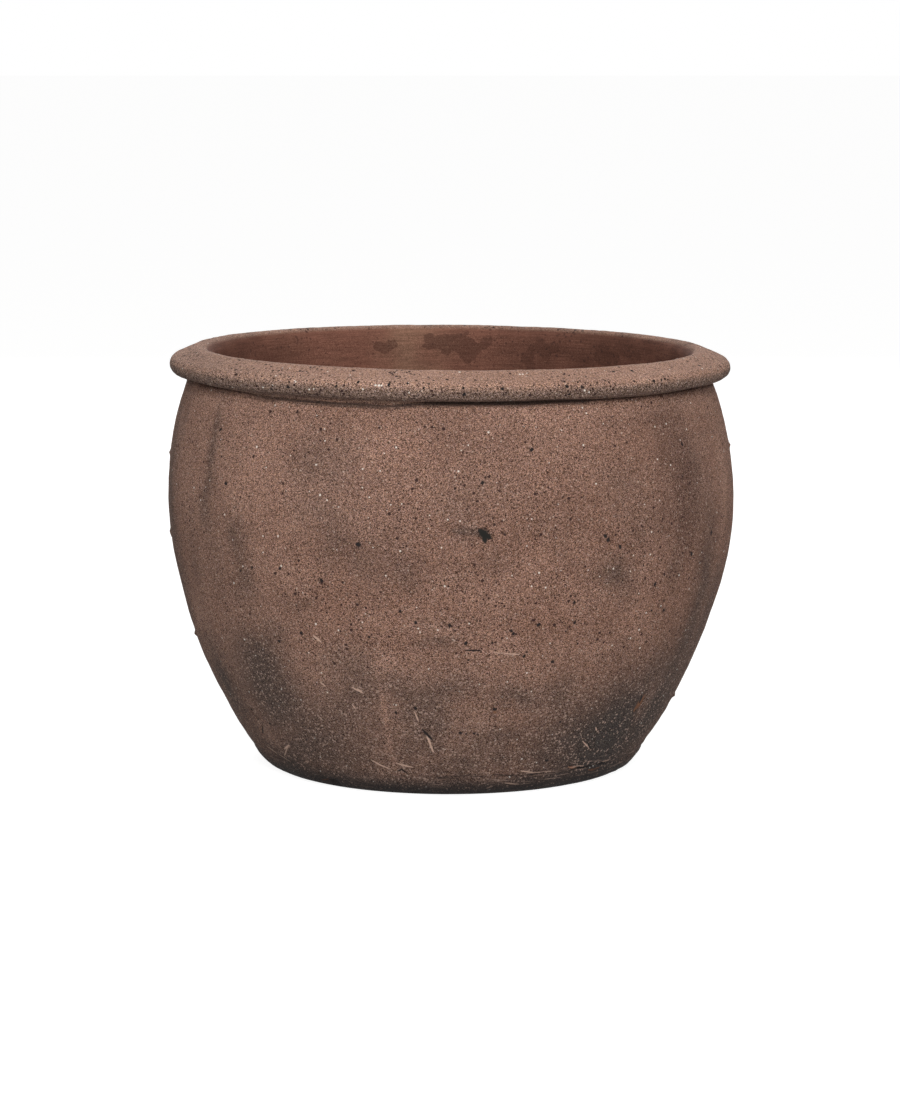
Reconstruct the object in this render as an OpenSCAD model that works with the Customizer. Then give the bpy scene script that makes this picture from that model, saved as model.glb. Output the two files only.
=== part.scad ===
// Round-bellied planter of coarse fired clay.
// Five clay pieces are luted together: a base slab, a lower and an upper wall ring, the roll that is
// lapped over the wall's top edge, and the coil that is pressed into the corner of the floor.
// Every piece is turned about the Z axis. The planter stands on Z = 0. Sizes are in millimetres.

/* [Wall] */
// Height of the planter, from the standing face to the crown of the rim
height = 300; // [250:1:380]
// Greatest outside diameter, at the belly
belly_d = 405; // [370:1:480]
// Height from the belly up to the neck under the rim
belly_drop = 83.5; // [60:0.5:110]
// How far the wall draws in from the belly to the neck
neck_in = 16; // [8:0.5:24]
// Slope from upright at which the belly's round passes into the lower wall, in degrees
round_slope = 11.5; // [4:0.5:16]
// Thickness of the wall, square to its face
wall_t = 15; // [11:0.5:20]
// Height of the joint between the two wall rings, on the outside
joint_z = 112; // [60:1:170]
// Slope of that joint, which rises towards the inside, in degrees
joint_slope = 28; // [0:1:40]

/* [Rim roll] */
// Height of the roll above the neck
roll_h = 21.5; // [19:0.5:30]
// How far the roll stands out from the neck
roll_out = 13.5; // [9:0.5:20]
// Radius of the roll's outer edge, in section
nose_r = 6.5; // [4:0.5:8]
// Depth of that edge's middle below the crown
nose_drop = 12.5; // [10:0.5:15]
// Radius of the roll's crown, in section
crown_r = 9; // [7:0.5:11]
// Height of the roll's straight inner face, from its crown down to the wall
lip_h = 3; // [1:0.5:6]
// Width of the shoulder on the wall that carries the roll
shoulder_w = 6; // [4:0.5:7]
// Depth of the tooled groove under the roll
groove_t = 2; // [0.5:0.25:3]
// Height of that groove
groove_h = 3; // [2:0.5:6]

/* [Base] */
// Diameter of the base slab where the wall stands on it
base_d = 281; // [240:1:320]
// Thickness of the base slab
base_t = 15; // [11:0.5:22]
// How far the rounded foot draws in to the flat standing face
foot_in = 20.5; // [12:0.5:28]
// Diameter of the drain hole
drain_d = 28; // [15:1:45]
// Width of the wiped edges of the drain hole
drain_edge = 2; // [1:0.25:4]
// Radius of the hollow face of the corner coil
coil_r = 22; // [14:1:32]
// Thickness of the corner coil's thin edges
coil_edge = 1; // [0.5:0.25:2]

/* [Hidden] */
$fn = 240;
arc_facets = 720;

clay_colour = "#7a5848";
rim_colour = "#836152";
floor_colour = "#6b4535";

// Heights and radii on the outside of the wall
neck_z = height - roll_h;
belly_z = neck_z - belly_drop;
belly_r = belly_d / 2;
neck_r = belly_r - neck_in;
base_r = base_d / 2;
foot_r = base_r - foot_in;
drain_r = drain_d / 2;

// Foot arc: level at the standing face, and it ends at the slab's upper edge
foot_arc_r = arc_radius(base_t, foot_in);

// Belly arc: upright at the belly, and it ends at the neck
belly_arc_r = arc_radius(neck_in, belly_drop);
belly_centre = [belly_r - belly_arc_r, belly_z];

// Lower arc: it leaves the belly arc smoothly, and ends at the edge of the base slab
round_dir = direction(-round_slope);
round_end = belly_centre + belly_arc_r * round_dir;
fall = [base_r, base_t] - round_end;
lower_arc_r = -(fall * fall) / (2 * fall * round_dir);
lower_centre = round_end - lower_arc_r * round_dir;
belly_is_tighter = belly_arc_r < lower_arc_r;

// Lap of the wall's top edge inside the roll
mouth_r = radius_at(belly_centre, belly_arc_r - wall_t, neck_z);
seat_r = neck_r - groove_t;
lap_r = seat_r - shoulder_w;
lap_z = height - crown_r - lip_h;

// Circles of the roll's section
crown_centre = [mouth_r + crown_r, height - crown_r];
nose_centre = [neck_r + roll_out - nose_r, height - nose_drop];
top_a = top_tangent(crown_centre, crown_r, nose_centre, nose_r);
under_a = under_tangent([seat_r, neck_z], nose_centre, nose_r);

// Circle of the corner coil's hollow face, clear of the floor and the wall by the thin edges
coil_z = base_t + coil_edge + coil_r;
coil_centre = [radius_at(lower_centre, lower_arc_r - wall_t - coil_edge - coil_r, coil_z), coil_z];
coil_top_dir = (coil_centre - lower_centre) / norm(coil_centre - lower_centre);
coil_reach = 2 * coil_r;

// Line of the joint between the wall rings
joint_r = joint_z > round_end[1]
    ? radius_at(belly_centre, belly_arc_r, joint_z)
    : radius_at(lower_centre, lower_arc_r, joint_z);
joint_rise = tan(joint_slope);

function direction(a) = [cos(a), sin(a)];

// Radius of the arc that draws in by sag over a rise, starting upright
function arc_radius(sag, rise) = (sag * sag + rise * rise) / (2 * sag);

// Distance from the axis of a circle's outer side, at height z
function radius_at(centre, r, z) = centre[0] + sqrt(r * r - (z - centre[1]) * (z - centre[1]));

function angle_of(v) = atan2(v[1], v[0]);

// Direction of the line that touches two circles from above
function top_tangent(c1, r1, c2, r2) = angle_of(c2 - c1) + acos((r1 - r2) / norm(c2 - c1));

// Direction in which the line from p touches a circle from below
function under_tangent(p, c, r) = angle_of(c - p) - acos(-r / norm(c - p));

module disc(centre, r) {
    translate(centre)
        circle(r, $fn = arc_facets);
}

// One side of the line through the centres of the two arcs
module round_side(above) {
    reach = 2 * height;
    translate(round_end)
        rotate(-round_slope)
            translate([-reach, above ? 0 : -reach])
                square([2 * reach, reach]);
}

// Everything within the wall's outer face, moved in by an inset
// The tighter arc is cut into the disc of the wider one, so that the two pass smoothly into each other
module filled_section(inset) {
    difference() {
        disc(belly_is_tighter ? lower_centre : belly_centre, max(lower_arc_r, belly_arc_r) - inset);
        difference() {
            round_side(belly_is_tighter);
            disc(belly_is_tighter ? belly_centre : lower_centre, min(lower_arc_r, belly_arc_r) - inset);
        }
    }
}

// Lap of the wall's top edge, which the roll is pressed over, with its root in the wall
module lap_section() {
    polygon([
        [mouth_r, neck_z],
        [lap_r, neck_z - shoulder_w],
        [lap_r, lap_z],
        [mouth_r, lap_z]
    ]);
}

// Whole wall in section, with its lap and the groove under the roll
module wall_section() {
    difference() {
        union() {
            intersection() {
                difference() {
                    filled_section(0);
                    filled_section(wall_t);
                }
                polygon([
                    [max(0, lower_centre[0]), base_t],
                    [belly_d, base_t],
                    [belly_d, neck_z],
                    [max(0, belly_centre[0]), neck_z]
                ]);
            }
            lap_section();
        }
        polygon([
            [seat_r, neck_z],
            [radius_at(belly_centre, belly_arc_r, neck_z - groove_h), neck_z - groove_h],
            [belly_r, neck_z - groove_h],
            [belly_r, neck_z]
        ]);
    }
}

// Everything below the sloped joint
module below_joint() {
    polygon([
        [0, joint_z + joint_r * joint_rise],
        [joint_r + wall_t, joint_z - wall_t * joint_rise],
        [joint_r + wall_t, 0],
        [0, 0]
    ]);
}

module base_slab() {
    color(clay_colour)
        rotate_extrude()
            union() {
                polygon([
                    [drain_r, drain_edge],
                    [drain_r + drain_edge, 0],
                    [foot_r, 0],
                    [foot_r, base_t],
                    [drain_r + drain_edge, base_t],
                    [drain_r, base_t - drain_edge]
                ]);
                intersection() {
                    translate([foot_r, foot_arc_r])
                        circle(foot_arc_r);
                    translate([foot_r, 0])
                        square([foot_in, base_t]);
                }
            }
}

module corner_coil() {
    color(floor_colour)
        rotate_extrude()
            difference() {
                intersection() {
                    disc(lower_centre, lower_arc_r - wall_t);
                    translate([0, base_t])
                        square([base_r, height]);
                    polygon([
                        coil_centre,
                        coil_centre - [0, coil_reach],
                        coil_centre + coil_reach * (coil_top_dir - [0, 1]),
                        coil_centre + coil_reach * coil_top_dir
                    ]);
                }
                disc(coil_centre, coil_r);
            }
}

module lower_wall() {
    color(clay_colour)
        rotate_extrude()
            intersection() {
                wall_section();
                below_joint();
            }
}

module upper_wall() {
    color(clay_colour)
        rotate_extrude()
            difference() {
                wall_section();
                below_joint();
            }
}

module rim_roll() {
    color(rim_colour)
        rotate_extrude()
            difference() {
                union() {
                    translate(nose_centre)
                        circle(nose_r);
                    translate(crown_centre)
                        circle(crown_r);
                    polygon([
                        [mouth_r, neck_z],
                        [seat_r, neck_z],
                        nose_centre + nose_r * direction(under_a),
                        nose_centre + nose_r * direction(top_a),
                        crown_centre + crown_r * direction(top_a),
                        crown_centre - [crown_r, 0]
                    ]);
                }
                lap_section();
            }
}

base_slab();
corner_coil();
lower_wall();
upper_wall();
rim_roll();
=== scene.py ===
import math
import bpy
import numpy as np
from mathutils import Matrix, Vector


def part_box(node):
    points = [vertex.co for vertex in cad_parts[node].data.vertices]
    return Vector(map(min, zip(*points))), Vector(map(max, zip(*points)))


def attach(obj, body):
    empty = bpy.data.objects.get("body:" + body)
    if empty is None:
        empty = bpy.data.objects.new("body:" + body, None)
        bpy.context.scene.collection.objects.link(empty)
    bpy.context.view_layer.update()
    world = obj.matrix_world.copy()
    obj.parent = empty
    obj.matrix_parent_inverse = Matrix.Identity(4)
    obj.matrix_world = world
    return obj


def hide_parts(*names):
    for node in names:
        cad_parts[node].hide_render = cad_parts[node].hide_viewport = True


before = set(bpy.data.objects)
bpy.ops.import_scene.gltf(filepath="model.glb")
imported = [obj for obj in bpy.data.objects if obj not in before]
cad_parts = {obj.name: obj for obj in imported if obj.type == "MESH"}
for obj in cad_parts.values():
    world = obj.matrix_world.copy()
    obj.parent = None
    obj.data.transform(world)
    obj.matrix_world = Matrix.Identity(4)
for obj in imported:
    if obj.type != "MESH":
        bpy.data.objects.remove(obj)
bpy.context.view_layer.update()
scene = bpy.context.scene
mm = 0.001
quarter = math.pi / 2

# Shape of the clay body

rimLow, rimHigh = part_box("rim_roll")
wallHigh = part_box("upper_wall")[1]
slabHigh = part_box("base_slab")[1]

pot = {
    "height": rimHigh.z, "neckZ": rimLow.z, "rollR": rimHigh.x,
    "bellyR": wallHigh.x, "lapZ": wallHigh.z,
    "baseR": slabHigh.x, "baseT": slabHigh.z,
    "bellyDrop": 83.5 * mm, "neckIn": 16 * mm, "wallT": 15 * mm,
    "roundSlope": math.radians(11.5),        # where the belly's round passes into the lower wall
    "jointZ": 112 * mm, "jointSlope": math.radians(28),
    "noseR": 6.5 * mm, "noseDrop": 12.5 * mm, "crownR": 9 * mm, "shoulderW": 6 * mm,
    "grooveT": 2 * mm, "grooveH": 3 * mm,
    "brimAngle": math.radians(17),           # the brim is wiped round from here up to the lip
    "footIn": 20.5 * mm, "drainR": 14 * mm, "drainEdge": 2 * mm,
    "coilR": 22 * mm, "coilEdge": 1 * mm,
}


def spot(r, z):
    return np.array([r, z])


def heading(angle):
    return np.array([math.cos(angle), math.sin(angle)])


def angleOf(v):
    return math.atan2(v[1], v[0])


def arcRadius(sag, rise):
    return (sag * sag + rise * rise) / (2 * sag)


def radiusAt(centre, radius, z):
    return centre[0] + math.sqrt(radius ** 2 - (z - centre[1]) ** 2)


neckZ, baseT = pot["neckZ"], pot["baseT"]
noseR, crownR = pot["noseR"], pot["crownR"]
neckR = pot["bellyR"] - pot["neckIn"]
bellyArcR = arcRadius(pot["neckIn"], pot["bellyDrop"])
bellyCentre = spot(pot["bellyR"] - bellyArcR, neckZ - pot["bellyDrop"])
roundDir = heading(-pot["roundSlope"])
roundEnd = bellyCentre + bellyArcR * roundDir
baseCorner = spot(pot["baseR"], baseT)
fall = baseCorner - roundEnd
lowerArcR = -fall.dot(fall) / (2 * fall.dot(roundDir))
lowerCentre = roundEnd - lowerArcR * roundDir
innerLowerR = lowerArcR - pot["wallT"]
innerBellyR = bellyArcR - pot["wallT"]
footR = pot["baseR"] - pot["footIn"]
footArcR = arcRadius(baseT, pot["footIn"])
footCentre = spot(footR, footArcR)
mouthR = radiusAt(bellyCentre, innerBellyR, neckZ)
seatR = neckR - pot["grooveT"]
lapR = seatR - pot["shoulderW"]
crownCentre = spot(mouthR + crownR, pot["height"] - crownR)
noseCentre = spot(pot["rollR"] - noseR, pot["height"] - pot["noseDrop"])
seat = spot(seatR, neckZ)
grooveZ = neckZ - pot["grooveH"]
grooveEdge = spot(radiusAt(bellyCentre, bellyArcR, grooveZ), grooveZ)

# the roll's straight stretches touch its two circles
span = noseCentre - crownCentre
topTouch = angleOf(span) + math.acos((crownR - noseR) / np.linalg.norm(span))
reach = noseCentre - seat
underTouch = angleOf(reach) - math.acos(-noseR / np.linalg.norm(reach))
underEnd = noseCentre + noseR * heading(underTouch)
topStart = noseCentre + noseR * heading(topTouch)
topEnd = crownCentre + crownR * heading(topTouch)

# the joint of the two rings, on the outside and on the inside
jointOut = spot(radiusAt(lowerCentre, lowerArcR, pot["jointZ"]), pot["jointZ"])
jointDir = heading(math.pi - pot["jointSlope"])
gone = jointOut - lowerCentre
along = gone.dot(jointDir)
jointIn = jointOut + jointDir * (-along - math.sqrt(along ** 2 - gone.dot(gone) + innerLowerR ** 2))

coilZ = baseT + pot["coilEdge"] + pot["coilR"]
coilGap = innerLowerR - pot["coilEdge"] - pot["coilR"]
coilCentre = spot(radiusAt(lowerCentre, coilGap, coilZ), coilZ)
coilTopDir = (coilCentre - lowerCentre) / np.linalg.norm(coilCentre - lowerCentre)
coilTop = lowerCentre + innerLowerR * coilTopDir
wallFoot = spot(radiusAt(lowerCentre, innerLowerR, baseT), baseT)
print("shape: belly arc %.1f mm, lower arc %.1f mm" % (bellyArcR / mm, lowerArcR / mm))


# Runs of a turned section: points with the clay on their left, and what kind of face they are

def lineRun(kind, start, end, step):
    count = max(1, round(float(np.linalg.norm(end - start)) / step))
    share = np.linspace(0, 1, count + 1)[:, None]
    return kind, start + share * (end - start)


def arcRun(kind, centre, radius, start, end, step):
    count = max(2, round(abs(end - start) * radius / step))
    angles = np.linspace(start, end, count + 1)
    return kind, centre + radius * np.stack([np.cos(angles), np.sin(angles)], axis=1)


def bendRun(kind, start, bend, end, step):
    count = max(2, round(float(np.linalg.norm(end - start)) / step))
    share = np.linspace(0, 1, count + 1)[:, None]
    return kind, (1 - share) ** 2 * start + 2 * share * (1 - share) * bend + share ** 2 * end


# Smooth ramps, bells and lumps, for relief and stains

def ramp(value, start, end):
    share = np.clip((value - start) / (end - start), 0, 1)
    return share * share * (3 - 2 * share)


def zone(up, start, end):
    return ramp(up, start * mm, end * mm)


def bell(value, middle, half):
    return np.exp(-((value - middle) / half) ** 2)


def lumps(points, size, seed):
    # about -1 to 1, with a size in mm; every use has a seed of its own
    tableSize, spread = 256, 1.6
    draws = np.random.default_rng(seed)
    order = draws.permutation(tableSize)
    slopes = draws.normal(size=(tableSize, 3))
    slopes /= np.linalg.norm(slopes, axis=1)[:, None]
    place = points / (size * mm)
    cell = np.floor(place).astype(int)
    part = place - cell
    ease = part ** 3 * (part * (part * 6 - 15) + 10)
    total = np.zeros(len(points))
    for corner in np.ndindex(2, 2, 2):
        side = np.array(corner)
        index = (cell + side) % tableSize
        key = order[index[:, 0]]
        for axis in (1, 2):
            key = order[(key + index[:, axis]) % tableSize]
        weight = np.where(side, ease, 1 - ease).prod(axis=1)
        total += weight * ((part - side) * slopes[key]).sum(axis=1)
    return total * spread


def flattened(points):
    return points * np.array([1, 1, 0])


def onWall(turn, up):
    # a place on the outside and its normal, from degrees to the right of the front and a height in mm
    z = up * mm
    if z > topStart[1]:
        share = min(1.0, (z - topStart[1]) / (topEnd[1] - topStart[1]))
        place, out = topStart + share * (topEnd - topStart), heading(topTouch)
    else:
        if z > neckZ:
            centre, radius = noseCentre, noseR
            z = max(z, noseCentre[1] - 0.9 * radius)     # clear of the roll's underside
        elif z > roundEnd[1]:
            centre, radius = bellyCentre, bellyArcR
        elif z > baseT:
            centre, radius = lowerCentre, lowerArcR
        else:
            centre, radius = footCentre, footArcR
        place = spot(radiusAt(centre, radius, z), z)
        out = (place - centre) / radius
    angle = math.radians(turn)
    around = np.array([math.sin(angle), -math.cos(angle)])
    return np.array([*(place[0] * around), place[1]]), np.array([*(out[0] * around), out[1]])


# Relief that the hands and the grog left: sizes and heights in mm

relief = {
    "broad": (80, 0.50), "thumb": (34, 0.24), "wipe": ((62, 62, 8.5), 0.13),
    "knead": (8.0, 0.08), "sand": (4.4, 0.05),
    "footZone": (120, 15), "footThumb": 1.8, "footKnead": 0.34, "footSand": 0.18,    # rougher at the foot
    "tornSize": 45, "torn": (-0.25, 0.5), "leastTorn": 0.4,
    "rimZone": (277, 283), "rimCalm": 0.6, "rimKnead": 0.05, "rimSand": 0.05,
    "insideRings": ((120, 120, 6.0), 0.16), "insideBroad": (60, 0.30),
}
# the wall was scraped down over the slab, and a torn crease is left here and there
crease = {
    "up": 15, "wander": (26, 1.8), "shownSize": 60, "shown": (0.05, 0.5),
    "cut": 0.6, "ridge": 0.35, "ridgeUp": 2.4, "ridgeHalf": 1.6,
}
# the tooled seam under the roll is cut deep, but smeared shut in places
# the roll hangs over it at the front left
seam = {
    "wander": (30, 0.5), "slot": 1.2, "slotHalf": 1.3, "smear": 1.1, "smearDrop": 1.2, "smearHalf": 1.6,
    "droop": 2.0, "droopFrom": (-58, -38), "droopTo": (-1, -14),
    "droopFill": 0.9, "fillDrop": 0.6, "fillHalf": 1.2,
    "shut": [                                # from and to, in degrees, and how far
        (27, 82, 0.62), (40, 82, 0.75), (-172, -150, 1.0), (128, 141, 1.0), (-100, -92, 1.0)],
    "shutFrom": 6, "shutTo": 4, "shutRag": (14, 4),
    "leftShut": 0.85, "leftFrom": (-32, -62), "leftTo": (-110, -95),
}
# fine lines that the tool left beside the seam: height, depth and seed
toolLines = {
    "lines": [(276.6, 0.30, 101), (282.4, 0.45, 103), (284.3, 0.35, 105)],
    "wander": (45, 0.7), "keptSize": 26, "kept": (-0.25, 0.35), "half": 0.5,
}

# pits and crumbs that show as shape: turn, height up, radius and depth (a crumb stands out)
dents = [
    (-17.7, 184.5, 2.6, 1.6), (30.8, 187.5, 2.2, 1.1), (34.3, 179.7, 2.0, 0.9), (-49.4, 217.9, 2.0, 0.8),
    (44.8, 150.1, 2.2, 0.9), (49.3, 129.8, 2.0, 0.8), (25.7, 129.2, 2.0, 0.8), (6.1, 226.9, 2.2, 0.7),
    (15.9, 248.3, 2.0, 0.7), (-57.8, 52.5, 2.4, 1.1), (-7.5, 69.6, 2.2, 0.9), (6.8, 193.1, 2.8, 0.7),
    (49.2, 15.8, 2.4, 1.0), (-36.5, 4.5, 7.5, 2.2), (-84.6, 168, 2.8, -1.5), (-86.5, 224, 2.6, -1.2),
    (-82.9, 96, 2.6, -1.4), (80.9, 52, 2.4, -1.6), (86.7, 232, 2.6, -1.2), (37.5, 16.0, 3.2, -1.1),
    (41.0, 16.5, 2.6, -1.0), (47.0, 14.0, 2.8, -1.0), (145, 140, 2.6, 1.3), (-132, 205, 2.4, 1.2),
    (172, 92, 2.4, 1.0), (-158, 58, 2.6, 1.2), (118, 226, 2.2, 1.0), (-104, 96, 2.4, 1.1),
    (108, 44, 2.8, -1.3), (-145, 20, 3.4, -1.2), (160, 17, 3.0, 1.2),
]

# tool marks that show as shape: two ends, width and depth
gouges = [
    ((-6.3, 53.2), (-3.9, 44.8), 2.6, 1.1), ((-57.7, 51.1), (-56.3, 41.2), 1.8, 0.9),
    ((-56.3, 41.2), (-59.3, 33.6), 1.8, 0.9), ((2.7, 112.8), (6.5, 111.9), 1.6, 0.6),
    ((12.5, 17.0), (21.2, 13.7), 1.6, 0.8), ((21.2, 13.7), (28.2, 16.2), 1.6, 0.8),
    ((52.4, 55.4), (54.1, 65.0), 3.4, 0.6), ((-14.1, 19.6), (-11.5, 17.6), 1.6, 0.7),
    ((38.8, 35.8), (41.3, 29.4), 1.6, 0.6), ((-28.8, 117.9), (-27.3, 115.1), 1.8, 0.5),
    ((35.7, 18.8), (44.8, 12.2), 1.6, 0.8), ((44.8, 12.2), (65.5, 13.4), 1.6, 0.8),
    ((128, 60), (133, 52), 2.2, 0.9), ((-120, 36), (-112, 30), 1.9, 0.8),
    ((178, 24), (168, 19), 1.8, 0.8),
]


def swell(points, size, height, seed):
    return height * lumps(points, np.array(size), seed)


def seamOpen(turn, points):
    degrees = np.degrees(turn) + swell(points, *seam["shutRag"], 20)
    shut = np.zeros(len(turn))
    before, after = seam["shutFrom"], seam["shutTo"]
    for start, end, share in seam["shut"]:
        within = ramp(degrees, start - before, start + before) * ramp(degrees, end + after, end - after)
        shut = np.maximum(shut, share * within)
    left = ramp(degrees, *seam["leftFrom"]) * ramp(degrees, *seam["leftTo"])
    return 1 - np.maximum(shut, seam["leftShut"] * left)


def droopOf(points):
    degrees = np.degrees(np.arctan2(points[:, 0], -points[:, 1]))
    return seam["droop"] * mm * ramp(degrees, *seam["droopFrom"]) * ramp(degrees, *seam["droopTo"])


def seamLine(points):
    return neckZ - droopOf(points) + mm * swell(flattened(points), *seam["wander"], 19)


def outsideRelief(points, turn, up):
    low, rim = zone(up, *relief["footZone"]), zone(up, *relief["rimZone"])
    calm = 1 - relief["rimCalm"] * rim
    out = calm * swell(points, *relief["broad"], 11)
    out += (1 + relief["footThumb"] * low) * swell(points, *relief["thumb"], 12)
    out += calm * swell(points, *relief["wipe"], 13)
    torn = ramp(lumps(points, relief["tornSize"], 16), *relief["torn"])
    foot = low * low * (relief["leastTorn"] + (1 - relief["leastTorn"]) * torn)
    (kneadSize, knead), (sandSize, sand) = relief["knead"], relief["sand"]
    out += swell(points, kneadSize, knead + relief["footKnead"] * foot + relief["rimKnead"] * rim, 14)
    out += swell(points, sandSize, sand + relief["footSand"] * foot + relief["rimSand"] * rim, 15)

    level = flattened(points)
    gap = up / mm - crease["up"] - swell(level, *crease["wander"], 17)
    ridge = crease["ridge"] * bell(gap, crease["ridgeUp"], crease["ridgeHalf"])
    shown = ramp(lumps(level, crease["shownSize"], 18), *crease["shown"])
    out += shown * (ridge - crease["cut"] * bell(gap, 0, 1))

    opened = seamOpen(turn, points)
    slot = bell(up, seamLine(points), seam["slotHalf"] * mm)
    filled = bell(up, neckZ - seam["smearDrop"] * mm, seam["smearHalf"] * mm)
    hung = bell(up, neckZ - seam["fillDrop"] * mm, seam["fillHalf"] * mm)
    out += (1 - opened) * seam["smear"] * filled - opened * seam["slot"] * slot
    out += seam["droopFill"] * droopOf(points) / mm * hung
    for height, depth, seed in toolLines["lines"]:
        line = height + swell(level, *toolLines["wander"], seed)
        kept = ramp(lumps(level, toolLines["keptSize"], seed + 1), *toolLines["kept"])
        out -= kept * depth * bell(up / mm, line, toolLines["half"])
    return out * mm


def insideRelief(points):
    return (swell(points, *relief["insideRings"], 21) + swell(points, *relief["insideBroad"], 22)) * mm


def press(offset, far, depth):
    inside = far < 1
    offset[inside] -= depth * mm * (1 - far[inside] ** 2) ** 2


def addDents(points, offset):
    for turn, up, radius, depth in dents:
        press(offset, np.linalg.norm(points - onWall(turn, up)[0], axis=1) / (radius * mm), depth)
    for start, end, width, depth in gouges:
        first, last = onWall(*start)[0], onWall(*end)[0]
        way = last - first
        share = np.clip((points - first) @ way / way.dot(way), 0, 1)
        press(offset, np.linalg.norm(points - first - share[:, None] * way, axis=1) / (width * mm), depth)
    return offset


# The whole pot is a little askew: side shift by height, a tilted rim and an oval mouth
askew = {
    "shiftUp": [0, 30, 80, 112, 130, 170, 215, 260, 300],
    "shift": [-0.9, -1.1, -0.9, -0.3, 0.4, 0.8, 0.7, 0.2, 0.0],
    "tilt": -0.0085, "oval": 0.6, "ovalTurn": 0.7, "roundWithin": 50,
}


def leanOver(points):
    up = points[:, 2]
    share = np.clip(up / pot["height"], 0, 1)
    turn = np.arctan2(points[:, 0], -points[:, 1])
    r = np.maximum(np.linalg.norm(points[:, :2], axis=1), askew["roundWithin"] * mm)
    grown = 1 + askew["oval"] * mm * share * np.cos(2 * turn + askew["ovalTurn"]) / r
    moved = points * np.stack([grown, grown, np.ones(len(points))], axis=1)
    moved[:, 0] += np.interp(up / mm, askew["shiftUp"], askew["shift"]) * mm
    moved[:, 2] += askew["tilt"] * points[:, 0] * share ** 2
    return moved


def markSpot(turn, up):
    # where a mark lies on the finished surface
    place, out = onWall(turn, up)
    points = place[None]
    offset = addDents(points, outsideRelief(points, np.radians([turn]), points[:, 2]))
    return leanOver(points + out * offset[:, None])[0]


# Stains: turn, height up, half width and half height in mm, strength

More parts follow.
